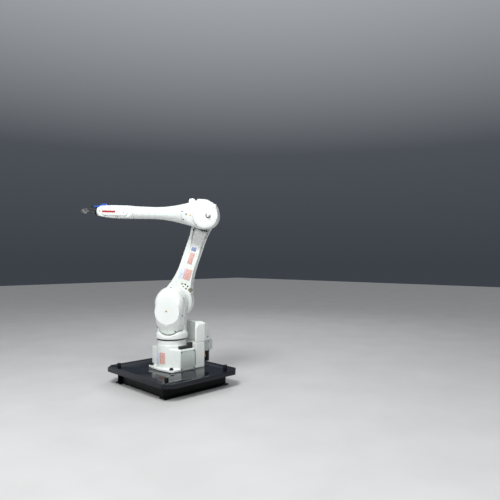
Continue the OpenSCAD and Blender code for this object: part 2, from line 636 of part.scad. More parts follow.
pedestal_plate();
frame_beam_front();
frame_beam_back();
frame_beam_left();
frame_beam_right();
frame_cross_beam();
plate_bolts();
base_casting();
foot_bolts();
side_cover_left();
side_cover_right();
side_cover_screws();
base_label();
stop_block();
harness_housing();
rear_box_covers();
rear_connectors();
air_fittings();
jt1_motor();
jt1_reducer();
swivel_seal();
swivel_casting();
shoulder_cover();
shoulder_cover_screws();
shoulder_plug();
jt2_motor();
jt2_reducer();
shoulder_seal();
lower_arm_casting();
arm_end_caps();
arm_labels();
arm_port_plugs();
jt3_reducer();
elbow_housing();
elbow_cap();
breather_ring();
breather_plug();
jt3_motor();
jt4_motor();
jt4_reducer();
forearm_tube();
wrist_fork();
wrist_cover_near();
wrist_cover_far();
accent_strip();
jt5_motor();
jt6_motor();
wrist_knuckle();
knuckle_fitting();
tool_flange();
gripper_adapter();
gripper_body();
gripper_fitting();
jaw_left();
jaw_right();
air_tube();
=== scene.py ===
import json
import math

import bmesh
import bpy
from mathutils import Matrix, Vector


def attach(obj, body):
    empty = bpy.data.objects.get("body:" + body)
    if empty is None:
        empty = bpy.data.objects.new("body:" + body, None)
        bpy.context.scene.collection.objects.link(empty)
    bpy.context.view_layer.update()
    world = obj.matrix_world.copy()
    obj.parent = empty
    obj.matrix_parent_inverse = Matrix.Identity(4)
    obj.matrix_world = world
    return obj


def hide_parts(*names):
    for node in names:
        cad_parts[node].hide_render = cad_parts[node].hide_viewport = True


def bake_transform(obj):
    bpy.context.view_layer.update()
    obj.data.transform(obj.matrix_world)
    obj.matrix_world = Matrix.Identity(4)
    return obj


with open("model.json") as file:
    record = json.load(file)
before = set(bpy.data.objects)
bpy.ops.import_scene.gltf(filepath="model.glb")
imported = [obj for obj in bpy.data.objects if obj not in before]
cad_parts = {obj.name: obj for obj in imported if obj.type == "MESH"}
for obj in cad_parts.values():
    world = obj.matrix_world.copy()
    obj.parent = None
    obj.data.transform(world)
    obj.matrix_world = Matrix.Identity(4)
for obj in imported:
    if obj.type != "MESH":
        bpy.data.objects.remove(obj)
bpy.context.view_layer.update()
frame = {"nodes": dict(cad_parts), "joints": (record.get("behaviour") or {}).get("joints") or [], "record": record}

MM = 0.001
NODES = frame["nodes"]
JOINTS = {j["name"]: j for j in frame["joints"]}
BODY_OF = {n: b for b, ns in frame["record"]["behaviour"]["bodies"].items() for n in ns}
SLOT_OF = {s["node"]: s["material_slot"] for s in frame["record"]["subparts"]}


# ---- Places, all worked out from the frame's joints ----
def axes_matrix(origin, x, z):
    """A frame at origin whose X and Z are the given directions."""
    x, z = Vector(x).normalized(), Vector(z).normalized()
    y = z.cross(x)
    m = Matrix((x, y, z)).transposed().to_4x4()
    m.translation = Vector(origin)
    return m


PLATE_TOP = Vector(JOINTS["joint_1"]["pos_m"])
SHOULDER = Vector(JOINTS["joint_2"]["pos_m"])
ELBOW = Vector(JOINTS["joint_3"]["pos_m"])
WRIST = Vector(JOINTS["joint_5"]["pos_m"])
SIDE = Vector(JOINTS["joint_2"]["axis"])
ALONG = Vector(JOINTS["joint_4"]["axis"])
UP = Vector((0, 0, 1))
AT_PLATE = Matrix.Translation(PLATE_TOP)
AT_SWIVEL = axes_matrix(PLATE_TOP, SIDE.cross(UP), UP)
AT_SHOULDER = axes_matrix(SHOULDER, SIDE.cross(UP), UP)
AT_ARM = axes_matrix(SHOULDER, SIDE.cross(ELBOW - SHOULDER), ELBOW - SHOULDER)
AT_ELBOW = axes_matrix(ELBOW, ALONG, ALONG.cross(SIDE))
AT_WRIST = axes_matrix(WRIST, ALONG, ALONG.cross(SIDE))


# ---- Small building tools ----
def link(name, data):
    """A new object of that data in the scene: a mesh, camera or lamp."""
    obj = bpy.data.objects.new(name, data)
    bpy.context.scene.collection.objects.link(obj)
    return obj


def aim(obj, way):
    """Points a camera or lamp along way."""
    obj.rotation_mode = "QUATERNION"
    obj.rotation_quaternion = way.to_track_quat("-Z", "Y")


def place(obj, body, slot, material, *replaced):
    """Gives a piece its material, hangs it under its body and hides the nodes it stands for; slot is not used."""
    obj.data.materials.clear()
    obj.data.materials.append(material)
    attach(obj, body)
    if replaced:
        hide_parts(*replaced)
    return obj


def shade(obj, angle=35):
    """Smooth faces, with edges sharper than angle kept."""
    obj.data.polygons.foreach_set("use_smooth", [True] * len(obj.data.polygons))
    obj.data.set_sharp_from_angle(angle=math.radians(angle))


def run_modifiers(obj):
    """Applies every modifier of obj to its mesh."""
    dg = bpy.context.evaluated_depsgraph_get()
    mesh = bpy.data.meshes.new_from_object(obj.evaluated_get(dg))
    obj.modifiers.clear()
    obj.data = mesh


def mesh_of(name, bm):
    """The mesh of a finished bmesh, which is freed."""
    mesh = bpy.data.meshes.new(name)
    bm.to_mesh(mesh)
    bm.free()
    return mesh


def solid_of(name, bm):
    """The mesh of a finished bmesh, with its normals turned outwards."""
    bmesh.ops.recalc_face_normals(bm, faces=bm.faces)
    return mesh_of(name, bm)


def circle_angles(sides):
    """Evenly spaced angles, one for each side."""
    return [2 * math.pi * k / sides for k in range(sides)]


def skin(bm, rings):
    """Faces between each closed ring of vertices and the next."""
    for a, b in zip(rings, rings[1:]):
        for k in range(len(a)):
            n = (k + 1) % len(a)
            bm.faces.new((a[k], a[n], b[n], b[k]))


def mesh_tube(name, points, radius, sides):
    """A round tube swept along points, closed at both ends."""
    bm = bmesh.new()
    rings = []
    up = None
    for i, p in enumerate(points):
        t = (points[min(i + 1, len(points) - 1)] - points[max(i - 1, 0)]).normalized()
        if up is None:
            up = t.orthogonal().normalized()
        up = (up - t * up.dot(t)).normalized()
        side = t.cross(up)
        rings.append([bm.verts.new(p + radius * (math.cos(a) * up + math.sin(a) * side))
                      for a in circle_angles(sides)])
    skin(bm, rings)
    bm.faces.new(list(reversed(rings[0])))
    bm.faces.new(rings[-1])
    return solid_of(name, bm)


def turned(name, profile, sides):
    """A solid turned round Z from (radius, height) pairs, with a single vertex where the radius is 0."""
    bm = bmesh.new()
    rings = []
    for r, h in profile:
        if r < 1e-7:
            rings.append([bm.verts.new((0, 0, h))])
        else:
            rings.append([bm.verts.new((r * math.cos(a), r * math.sin(a), h)) for a in circle_angles(sides)])
    for a, b in zip(rings, rings[1:]):
        for k in range(sides):
            n = (k + 1) % sides
            ring = [a[k % len(a)], a[n % len(a)], b[n % len(b)], b[k % len(b)]]
            ring = [v for i, v in enumerate(ring) if v not in ring[:i]]
            if len(ring) > 2:
                bm.faces.new(ring)
    return solid_of(name, bm)


def mm(*pairs):
    """Pairs of millimetres, in metres."""
    return [(a * MM, b * MM) for a, b in pairs]


TURNS = {
    "Z": Matrix(),
    "Y": Matrix.Rotation(-math.pi / 2, 4, "X"),
    "-Y": Matrix.Rotation(math.pi / 2, 4, "X"),
    "-X": Matrix.Rotation(-math.pi / 2, 4, "Y"),
}
Y_FACE = {1: "Y", -1: "-Y"}
# Metres from a frame's middle plane, outside every piece, where a surface is first looked for.
OUTSIDE = 0.4


def spot(at, x, y, z, face="Z"):
    """A place x, y, z millimetres into the frame at, with its own Z turned to the given face."""
    return at @ Matrix.Translation(Vector((x, y, z)) * MM) @ TURNS[face]


def on_surface(obj, at, x, z, side=1):
    """Where a line along Y through x, z first meets obj, with Z along the surface's normal."""
    inv = obj.matrix_world.inverted()
    start = inv @ (at @ Vector((x * MM, side * OUTSIDE, z * MM)))
    way = (inv.to_3x3() @ (at.to_3x3() @ Vector((0, -side, 0)))).normalized()
    hit, loc, normal, _ = obj.ray_cast(start, way)
    if not hit:
        raise ValueError("nothing met at " + str((x, z)))
    m = (obj.matrix_world.to_3x3() @ normal).to_track_quat("Z", "Y").to_matrix().to_4x4()
    m.translation = obj.matrix_world @ loc
    return m


def assembled(name, parts, body, slot, *replaced, material=None):
    """One piece joined from (mesh, place) pairs."""
    bm = bmesh.new()
    for mesh, m in parts:
        part = mesh.copy()
        part.transform(m)
        bm.from_mesh(part)
    obj = link(name, mesh_of(name, bm))
    shade(obj, 30)
    return place(obj, body, slot, material or MATS[slot], *replaced)


def cap_screw(r, h):
    """A socket-head screw of head radius r, standing h over the surface."""
    socket = ((0, h * 0.35), (r * 0.5, h * 0.35), (r * 0.52, h * 0.92), (r * 0.6, h))
    head = ((r * 0.84, h), (r, h * 0.8), (r, -0.5), (0, -0.5))
    return turned("screw", mm(*socket, *head), 24)


def screws(r, h, places):
    """The same screw at each place, ready to be assembled."""
    return [(cap_screw(r, h), at) for at in places]


def six_round(x, z, r, start):
    """Six places spaced round x, z at radius r, the first at start degrees."""
    angles = [math.radians(start + 60 * k) for k in range(6)]
    return [(x + r * math.cos(a), z + r * math.sin(a)) for a in angles]


def slab(x, y, z, edge):
    """A box of that size in millimetres, standing on its place, with bevelled edges."""
    bm = bmesh.new()
    bmesh.ops.create_cube(bm, size=MM)
    bmesh.ops.scale(bm, vec=(x, y, z), verts=bm.verts)
    bmesh.ops.translate(bm, vec=(0, 0, z / 2 * MM), verts=bm.verts)
    bmesh.ops.bevel(bm, geom=bm.edges, offset=edge * MM, segments=2, affect="EDGES", profile=0.5)
    return mesh_of("slab", bm)


# ---- Camera, at the photograph's viewing angle ----
CAMERA_AT = (1.889, 2.617, 0.827)
CAMERA_TURN, CAMERA_RISE = 224.77, 1.31
SENSOR_WIDTH, LENS = 36, 33.84


def make_camera():
    data = bpy.data.cameras.new("view_camera")
    data.sensor_width = SENSOR_WIDTH
    data.lens = LENS
    data.clip_start = 0.05
    data.clip_end = 60
    cam = link("view_camera", data)
    cam.location = CAMERA_AT
    turn, rise = math.radians(CAMERA_TURN), math.radians(CAMERA_RISE)
    aim(cam, Vector((math.cos(turn) * math.cos(rise), math.sin(turn) * math.cos(rise), math.sin(rise))))
    bpy.context.scene.camera = cam


make_camera()


# ---- Materials ----
def new_material(name, base, roughness, metallic=0.0, coat=0.0, coat_rough=0.1):
    """A Principled material, with its node tree, shader and object coordinates."""
    mat = bpy.data.materials.new(name)
    mat.use_nodes = True
    nt = mat.node_tree
    bsdf = nt.nodes["Principled BSDF"]
    bsdf.inputs["Base Color"].default_value = (*base, 1)
    bsdf.inputs["Roughness"].default_value = roughness
    bsdf.inputs["Metallic"].default_value = metallic
    bsdf.inputs["Coat Weight"].default_value = coat
    bsdf.inputs["Coat Roughness"].default_value = coat_rough
    coords = nt.nodes.new("ShaderNodeTexCoord")
    return mat, nt, bsdf, coords.outputs["Object"]


def noise(nt, coords, scale, detail, rough=0.5, stretch=None):
    """Noise between 0 and 1, drawn out along an axis by stretch."""
    if stretch is not None:
        mapping = nt.nodes.new("ShaderNodeMapping")
        mapping.inputs["Scale"].default_value = stretch
        nt.links.new(coords, mapping.inputs["Vector"])
        coords = mapping.outputs["Vector"]
    tex = nt.nodes.new("ShaderNodeTexNoise")
    tex.inputs["Scale"].default_value = scale
    tex.inputs["Detail"].default_value = detail
    tex.inputs["Roughness"].default_value = rough
    nt.links.new(coords, tex.inputs["Vector"])
    return tex.outputs["Fac"]


def ramp(nt, fac, stops):
    """A colour for fac, between stops of (position, colour)."""
    node = nt.nodes.new("ShaderNodeValToRGB")
    el = node.color_ramp.elements
    while len(el) < len(stops):
        el.new(0.5)
    for e, (pos, col) in zip(el, stops):
        e.position = pos
        e.color = (*col, 1)
    nt.links.new(fac, node.inputs["Fac"])
    return node.outputs["Color"]


def grey_ramp(nt, fac, lo, hi):
    """A grey from lo to hi over the middle of fac's range."""
    return ramp(nt, fac, [(0.3, (lo, lo, lo)), (0.7, (hi, hi, hi))])


def bump(nt, bsdf, height, strength, distance):
    node = nt.nodes.new("ShaderNodeBump")
    node.inputs["Strength"].default_value = strength
    node.inputs["Distance"].default_value = distance
    nt.links.new(height, node.inputs["Height"])
    nt.links.new(node.outputs["Normal"], bsdf.inputs["Normal"])


def painted(name, base, dark, rough_lo, rough_hi, coat, peel=0.12):
    """Gloss paint: faint tone change, a little uneven gloss and fine orange peel."""
    mat, nt, bsdf, co = new_material(name, base, rough_lo, coat=coat, coat_rough=0.12)
    nt.links.new(ramp(nt, noise(nt, co, 6, 4), [(0.3, dark), (0.7, base)]), bsdf.inputs["Base Color"])
    nt.links.new(grey_ramp(nt, noise(nt, co, 22, 5), rough_lo, rough_hi), bsdf.inputs["Roughness"])
    bump(nt, bsdf, noise(nt, co, 650, 2), peel, 0.0004)
    return mat


def mirror_black(name):
    """Polished black lacquer: a clear reflection, broken a little by fine wipe marks."""
    mat, nt, bsdf, co = new_material(name, (0.004, 0.006, 0.010), 0.05)
    bsdf.inputs["IOR"].default_value = 1.38
    nt.links.new(grey_ramp(nt, noise(nt, co, 14, 5, 0.6), 0.03, 0.10), bsdf.inputs["Roughness"])
    tones = [(0.35, (0.003, 0.004, 0.007)), (0.65, (0.005, 0.008, 0.014))]
    nt.links.new(ramp(nt, noise(nt, co, 5, 3), tones), bsdf.inputs["Base Color"])
    bump(nt, bsdf, noise(nt, co, 30, 2), 0.01, 0.0003)
    return mat


def brushed(name, base, rough_lo, rough_hi, stretch, metallic=1.0):
    """Machined metal, its grain drawn out by stretch."""
    mat, nt, bsdf, co = new_material(name, base, rough_lo, metallic=metallic)
    grain = noise(nt, co, 90, 6, 0.6, stretch)
    nt.links.new(grey_ramp(nt, grain, rough_lo, rough_hi), bsdf.inputs["Roughness"])
    dark = tuple(c * 0.72 for c in base)
    nt.links.new(ramp(nt, noise(nt, co, 25, 4), [(0.3, dark), (0.7, base)]), bsdf.inputs["Base Color"])
    bump(nt, bsdf, grain, 0.08, 0.0003)
    return mat


def printed_film(name, field, ink, scale, amount):
    """A printed film without lettering: short blurred dashes of ink over a plain field."""
    mat, nt, bsdf, co = new_material(name, field, 0.4)
    dashes = noise(nt, co, scale, 3, 0.6, (1, 1, 2.6))
    nt.links.new(ramp(nt, dashes, [(amount, ink), (amount + 0.16, field)]), bsdf.inputs["Base Color"])
    nt.links.new(grey_ramp(nt, noise(nt, co, 40, 3), 0.34, 0.5), bsdf.inputs["Roughness"])
    return mat


MATS = {
    "white_casting": painted("white_paint", (0.78, 0.82, 0.79), (0.72, 0.765, 0.735), 0.2, 0.32, 0.35),
    "white_cover": painted("white_cover_paint", (0.80, 0.84, 0.815), (0.75, 0.79, 0.765), 0.16, 0.26, 0.45,
                           0.07),
    "grey_cover": painted("grey_cover_paint", (0.53, 0.585, 0.55), (0.49, 0.54, 0.51), 0.36, 0.48, 0.05),
    "black_gloss_steel": mirror_black("black_gloss"),
    "black_steel": painted("black_satin", (0.0028, 0.003, 0.004), (0.0018, 0.002, 0.0025), 0.36, 0.5, 0.0),
    "black_fastener": brushed("black_oxide", (0.02, 0.021, 0.024), 0.3, 0.45, (1, 1, 6), 0.6),
    "zinc_screw": brushed("zinc", (0.14, 0.16, 0.155), 0.3, 0.45, (4, 1, 1), 0.7),
    "label_film": printed_film("label_red", (0.80, 0.58, 0.52), (0.58, 0.31, 0.27), 120, 0.46),
    "red_film": painted("red_strip", (0.42, 0.012, 0.018), (0.36, 0.010, 0.014), 0.3, 0.4, 0.0, 0.02),
    "black_rubber": painted("black_rubber", (0.030, 0.031, 0.033), (0.020, 0.020, 0.022), 0.5, 0.65, 0.0),
    "black_plastic": painted("black_plastic", (0.014, 0.015, 0.017), (0.01, 0.011, 0.012), 0.3, 0.42, 0.0),
    "brass": brushed("brass", (0.72, 0.54, 0.28), 0.28, 0.4, (1, 1, 5)),
    "motor_black": painted("motor_enamel", (0.03, 0.033, 0.038), (0.02, 0.022, 0.026), 0.4, 0.5, 0.0),
    "reducer_steel": brushed("machined_steel", (0.42, 0.43, 0.45), 0.25, 0.4, (5, 1, 1)),
    "white_plastic": painted("white_plastic", (0.84, 0.86, 0.86), (0.82, 0.84, 0.84), 0.15, 0.22, 0.2, 0.02),
    "jaw_steel": brushed("jaw_steel", (0.20, 0.205, 0.21), 0.32, 0.46, (1, 6, 1)),
    "gripper_grey": brushed("gripper_anodised", (0.055, 0.06, 0.068), 0.38, 0.5, (1, 1, 1), 0.5),
    "blue_tube": painted("blue_tube", (0.02, 0.14, 0.80), (0.015, 0.11, 0.68), 0.12, 0.2, 0.3, 0.02),
}
BLUE_FILM = printed_film("label_blue", (0.74, 0.78, 0.90), (0.34, 0.38, 0.55), 150, 0.36)
NAVY_FILM = printed_film("label_navy", (0.15, 0.20, 0.38), (0.42, 0.48, 0.66), 170, 0.38)
MATS["black_steel"].node_tree.nodes["Principled BSDF"].inputs["IOR"].default_value = 1.3
# Painted shadow: a near-black paint for thin discs that stand in for the shade inside recesses.
SHADOW = painted("recess_shadow_paint", (0.02, 0.021, 0.022), (0.012, 0.012, 0.013), 0.6, 0.8, 0.0)


def map_range(nt, value, start, end):
    """0 at start, rising to 1 at end."""
    node = nt.nodes.new("ShaderNodeMapRange")
    node.inputs["From Min"].default_value = start
    node.inputs["From Max"].default_value = end
    nt.links.new(value, node.inputs["Value"])
    return node.outputs["Result"]


def product(nt, a, b):
    node = nt.nodes.new("ShaderNodeMath")
    node.operation = "MULTIPLY"
    nt.links.new(a, node.inputs[0])
    nt.links.new(b, node.inputs[1])
    return node.outputs["Value"]


# Painted shade in the arm's hollow: a grey for the elbow's shadow, in the arm's own axes, in metres.
# It fades in along the arm and below the outer face, and out again before the far wall.
SHADE_ALONG = (0.350, 0.392)
SHADE_BELOW_FACE = (-0.0725, -0.0765)
SHADE_BEFORE_FAR = (-0.112, -0.102)


def shaded_hollow_paint(base, painted_shade_colour):
    """The casting paint with painted shade, a soft grey in the upper part of the arm's hollow."""
    mat = painted("white_paint_painted_shade", base, tuple(c * 0.93 for c in base), 0.2, 0.32, 0.35)
    nt = mat.node_tree
    bsdf = nt.nodes["Principled BSDF"]
    plain = bsdf.inputs["Base Color"].links[0].from_socket
    to_arm = AT_ARM.inverted()
    into_arm = nt.nodes.new("ShaderNodeMapping")
    into_arm.inputs["Location"].default_value = to_arm.translation
    into_arm.inputs["Rotation"].default_value = to_arm.to_euler("XYZ")
    nt.links.new(nt.nodes.new("ShaderNodeTexCoord").outputs["Object"], into_arm.inputs["Vector"])
    parts = nt.nodes.new("ShaderNodeSeparateXYZ")
    nt.links.new(into_arm.outputs["Vector"], parts.inputs["Vector"])
    along = map_range(nt, parts.outputs["Z"], *SHADE_ALONG)
    below = map_range(nt, parts.outputs["Y"], *SHADE_BELOW_FACE)
    before = map_range(nt, parts.outputs["Y"], *SHADE_BEFORE_FAR)
    mix = nt.nodes.new("ShaderNodeMix")
    mix.data_type = "RGBA"
    nt.links.new(product(nt, product(nt, along, below), before), mix.inputs["Factor"])
    nt.links.new(plain, mix.inputs["A"])
    mix.inputs["B"].default_value = (*painted_shade_colour, 1)
    nt.links.new(mix.outputs["Result"], bsdf.inputs["Base Color"])
    return mat


for node, obj in NODES.items():
    obj.data.materials.clear()
    obj.data.materials.append(MATS[SLOT_OF[node]])
    shade(obj)


# ---- Castings with soft edges ----
def soften(node, voxel, rounds, at):
    """A cast copy of a CAD node, swapped in for it: remeshed in the axes of its own frame, so that its
    edges and corners come out as small fillets, then baked back into the shared frame."""
    mesh = NODES[node].data.copy()
    mesh.transform(at.inverted())
    obj = link(node + "_cast", mesh)
    remesh = obj.modifiers.new("cast", "REMESH")
    remesh.mode = "VOXEL"
    remesh.voxel_size = voxel
    remesh.use_smooth_shade = True
    smooth = obj.modifiers.new("fillets", "SMOOTH")
    smooth.factor = 0.5
    smooth.iterations = rounds
    bpy.context.view_layer.update()
    run_modifiers(obj)
    obj.data.transform(at)
    return place(obj, BODY_OF[node], SLOT_OF[node], MATS[SLOT_OF[node]], node)


def bevelled(node, width):
    """A copy of a CAD node with its sharp edges rounded, swapped in for the node."""
    obj = link(node + "_edged", NODES[node].data.copy())
    bm = bmesh.new()
    bm.from_mesh(obj.data)
    bmesh.ops.remove_doubles(bm, verts=bm.verts, dist=1e-6)
    bmesh.ops.dissolve_limit(bm, angle_limit=math.radians(0.5), verts=bm.verts, edges=bm.edges)
    bm.to_mesh(obj.data)
    bm.free()
    bevel = obj.modifiers.new("edges", "BEVEL")
    bevel.width = width
    bevel.segments = 3
    bevel.limit_method = "ANGLE"
    bevel.angle_limit = math.radians(30)
    bevel.harden_normals = True
    run_modifiers(obj)
    shade(obj, 40)
    return place(obj, BODY_OF[node], SLOT_OF[node], MATS[SLOT_OF[node]], node)


base = soften("base_casting", 0.0025, 12, AT_PLATE)
hump = soften("harness_housing", 0.003, 20, AT_PLATE)
soften("swivel_casting", 0.003, 12, AT_SWIVEL)
arm = soften("lower_arm_casting", 0.0025, 5, AT_ARM)
# Painted shade: the arm's paint is greyed in the hollow under the elbow, where its shadow falls.
arm.data.materials[0] = shaded_hollow_paint((0.78, 0.82, 0.79), (0.36, 0.38, 0.37))
elbow = soften("elbow_housing", 0.002, 14, AT_ELBOW)
forearm = soften("forearm_tube", 0.0025, 3, AT_ELBOW)
fork = soften("wrist_fork", 0.0015, 14, AT_ELBOW)
for name in ("pedestal_plate", "stop_block", "arm_end_caps"):
    bevelled(name, 0.002)
for name in ("side_cover_left", "side_cover_right", "rear_box_covers", "wrist_cover_near", "wrist_cover_far",
             "frame_beam_front", "frame_beam_back", "frame_beam_left", "frame_beam_right", "plate_bolts",
             "foot_bolts", "wrist_knuckle", "tool_flange", "gripper_adapter", "gripper_body", "jaw_left",
             "jaw_right", "rear_connectors"):
    bevelled(name, 0.001)


# ---- Motor cover on the swivel, a smooth shell between two discs ----
# Millimetres in the shoulder's axes: where the rim ends, the lower disc starts to rise, and the face is.
RIM_Y, BELLY_Y, FACE_Y = 35, 66, 105
# X and Z of the screws.
COVER_SCREWS = ((-7, 101), (-97, 30), (91, 42), (-92, -82), (-47, -187), (76, -158))
# The upper disc sinks by UPPER_DROP and shrinks by DOME_R to FACE_R; the lower rises by LOWER_RISE.
UPPER_DROP, FACE_R, DOME_R, DOME_POWER = 8, 45, 60, 0.42
LOWER_Z, LOWER_RISE, LOWER_POWER, LOWER_R = -120, 66, 1.25, 94
# Each section is its Y and how far its outline is drawn in.
RIM_SECTIONS = [(20, 8), (20, 0.8), (20.8, 0), (33, 0), (34.3, 0.5), (34.8, 1.6), (35, 3)]
FACE_SECTIONS = [(104.6, 0), (FACE_Y, 0.6), (FACE_Y, 4)]
ARC_STEPS, SIDE_STEPS = 48, 8


def egg_discs(y):
    """Height and radius of the upper and the lower disc that the cover's outline wraps, at y."""
    s = max(0, (y - RIM_Y) / (FACE_Y - RIM_Y))
    u = max(0, (y - BELLY_Y) / (FACE_Y - BELLY_Y))
    upper = (-UPPER_DROP * s * s, FACE_R + DOME_R * (1 - s * s) ** DOME_POWER)
    lower = (LOWER_Z + LOWER_RISE * u ** LOWER_POWER, LOWER_R - 4 * min(1, s * 2) - 6 * u)
    return upper, lower


def egg_ring(y, inset):
    """The outline round the two discs, drawn in by inset."""
    (zu, ru), (zl, rl) = [(z, r - inset) for z, r in egg_discs(y)]
    lean = math.asin((rl - ru) / (zu - zl))
    across, rise = math.cos(lean), math.sin(lean)
    pts = []
    arcs = ((zu, ru, lean, math.pi - lean, (-rl * across, zl + rl * rise)),
            (zl, rl, math.pi - lean, 2 * math.pi + lean, (ru * across, zu + ru * rise)))
    for z, r, start, end, to in arcs:
        turns = [start + (end - start) * k / ARC_STEPS for k in range(ARC_STEPS + 1)]
        pts += [(r * math.cos(a), y, z + r * math.sin(a)) for a in turns]
        x0, z0 = pts[-1][0], pts[-1][2]
        pts += [(x0 + (to[0] - x0) * k / SIDE_STEPS, y, z0 + (to[1] - z0) * k / SIDE_STEPS)
                for k in range(1, SIDE_STEPS)]
    return [Vector(p) * MM for p in pts]


def egg_cover():
    """The cover as a loft of its outlines, from inside the rim to the face."""
    dome = [(RIM_Y + (FACE_Y - RIM_Y) * math.sin(k / 36 * math.pi), 3 - k / 6) for k in range(1, 17)]
    bm = bmesh.new()
    rings = [[bm.verts.new(p) for p in egg_ring(*section)] for section in RIM_SECTIONS + dome + FACE_SECTIONS]
    skin(bm, rings)
    bm.faces.new(rings[0])
    bm.faces.new(rings[-1])
    obj = link("shoulder_cover_shell", solid_of("shoulder_cover_shell", bm))
    obj.matrix_world = AT_SHOULDER
    bpy.context.view_layer.update()
    shade(obj, 20)
    return place(obj, "swivel", "white_cover", MATS["white_cover"], "shoulder_cover")


# Width of a patch's sloping border, and how deep its outer edge is sunk, in millimetres.
PATCH_EDGE, PATCH_SINK = 0.7, 0.6


def spread(lo, hi, n):
    """Positions from lo to hi in n steps, with one more close inside each end."""
    inner = [lo + (hi - lo) * k / n for k in range(1, n)]
    return [lo, lo + PATCH_EDGE] + inner + [hi - PATCH_EDGE, hi]


def patch(name, obj, at, x, z, lift, body, slot, *replaced, material=None, steps=(28, 10), side=1):
    """A raised patch that follows obj's surface between two corners seen along Y of at, with its border
    sunk into the surface."""
    xs, zs = spread(*x, steps[0]), spread(*z, steps[1])
    bm = bmesh.new()
    grid = []
    for i, a in enumerate(xs):
        row = []
        for k, b in enumerate(zs):
            m = on_surface(obj, at, a, b, side)
            border = i in (0, len(xs) - 1) or k in (0, len(zs) - 1)
            height = -PATCH_SINK if border else lift
            row.append(bm.verts.new(m.translation + m.col[2].to_3d() * height * MM))
        grid.append(row)
    for i in range(len(xs) - 1):
        for k in range(len(zs) - 1):
            bm.faces.new((grid[i][k], grid[i + 1][k], grid[i + 1][k + 1], grid[i][k + 1]))
    bmesh.ops.recalc_face_normals(bm, faces=bm.faces)
    outward = at.to_3x3() @ Vector((0, side, 0))
    if sum(f.normal.dot(outward) for f in bm.faces) < 0:
        bmesh.ops.reverse_faces(bm, faces=bm.faces)
    piece = link(name, mesh_of(name, bm))
    shade(piece, 50)
    return place(piece, body, slot, material or MATS[slot], *replaced)


# Profiles for turned() are (radius, height) pairs.
cover = egg_cover()
# Painted shadow: a thin dark disc under each cover screw stands in for the shade in its well.
WELL_SHADOW = mm((0, 0.25), (5, 0.25), (5.6, 0.5), (6, 0), (6, -1), (0, -1))
PLUG_X, PLUG_Z = 4, -50
COVER_PLUG = mm((0, 1.6), (3, 1.6), (3.4, 2.2), (5, 2.4), (5.6, 1.6), (5.6, 0), (0, 0))
cover_places = [on_surface(cover, AT_SHOULDER, x, z) for x, z in COVER_SCREWS]
assembled("cover_screw_well_shadows", [(turned("well_shadow", WELL_SHADOW, 28), at) for at in cover_places], "swivel",
          "white_cover", material=SHADOW)
assembled("cover_screws", screws(4.4, 2, cover_places), "swivel", "zinc_screw", "shoulder_cover_screws")
assembled("cover_plug", [(turned("plug", COVER_PLUG, 32), spot(AT_SHOULDER, PLUG_X, FACE_Y, PLUG_Z, "Y"))],
          "swivel", "brass", "shoulder_plug")
patch("cover_rib", cover, AT_SHOULDER, (0, 12), (-206, -142), 4, "swivel", "white_cover", steps=(4, 16))


# ---- Screws, films and small parts, placed in millimetres in the axes of the frame they name ----
AT_FRONT = AT_PLATE @ Matrix.Rotation(-math.pi / 2, 4, "Z")
LABEL_Z = (43, 117)
patch("base_label_red", base, AT_FRONT, (-49, -4), LABEL_Z, 0.5, "base", "label_film", "base_label")
patch("base_label_blue", base, AT_FRONT, (-4, 23), LABEL_Z, 0.5, "base", "label_film", "base_label",
      material=BLUE_FILM)

RIDGE_X, RIDGE_Z = (178, 440), (-33, -13)
for name, side in (("forearm_ridge", 1), ("forearm_ridge_far", -1)):
    patch(name, forearm, AT_ELBOW, RIDGE_X, RIDGE_Z, 1.8, "forearm", "white_casting", steps=(60, 6),
          side=side)

ARM_LENGTH = (ELBOW - SHOULDER).length / MM
ARM_FACE_Y = -72
PORTS = ((-20, 113, 5), (-29, 132, 6), (-50, 125, 6), (-44, 107, 6))


def port_shade_disc(r):
    """A black disc of radius r, sunk below its place, that darkens a port hole as painted shade."""
    return turned("cap", mm((0, 0), (r - 0.6, 0), (r - 0.2, -0.6), (r - 0.2, -8), (0, -8)), 24)


# Painted shade: black discs sunk in the arm's port holes stand in for the dark of their depth.
assembled("arm_port_shade_discs", [(port_shade_disc(r), spot(AT_ARM, x, ARM_FACE_Y - 3, z, "Y")) for x, z, r in PORTS],
          "lower_arm", "black_plastic")

SIDE_COVER_X, SIDE_COVER_Y, SIDE_COVER_Z = (-81, 21), 138, (13, 123)
side_places = [spot(AT_PLATE, x, j * SIDE_COVER_Y, z, Y_FACE[j])
               for x in SIDE_COVER_X for j in (-1, 1) for z in SIDE_COVER_Z]
assembled("side_cover_screw_heads", screws(4.5, 2, side_places), "base", "zinc_screw", "side_cover_screws")

REAR_X, REAR_SIDE_Y, REAR_Z, REAR_END_X = (-248, -191), 93, (105, 160), -290
rear_places = [spot(AT_PLATE, x, j * REAR_SIDE_Y, z, Y_FACE[j])
               for x in REAR_X for j in (-1, 1) for z in REAR_Z]
rear_places += [spot(AT_PLATE, REAR_END_X, y, z, "-X") for y in (-76, 76) for z in (107, 161)]
assembled("rear_cover_screws", screws(4, 1.8, rear_places), "base", "zinc_screw")

ELBOW_SCREWS = ((112, 10), (107, -41))
near_places = [on_surface(elbow, AT_ELBOW, x, z) for x, z in (*ELBOW_SCREWS, (87, -6))]
far_places = [on_surface(elbow, AT_ELBOW, x, z, -1) for x, z in ELBOW_SCREWS]
assembled("elbow_screws", screws(5, 2, near_places) + screws(4, 1.6, far_places), "elbow", "zinc_screw")
assembled("elbow_plug", screws(5, 2.4, [on_surface(elbow, AT_ELBOW, 58, -11)]), "elbow", "brass")

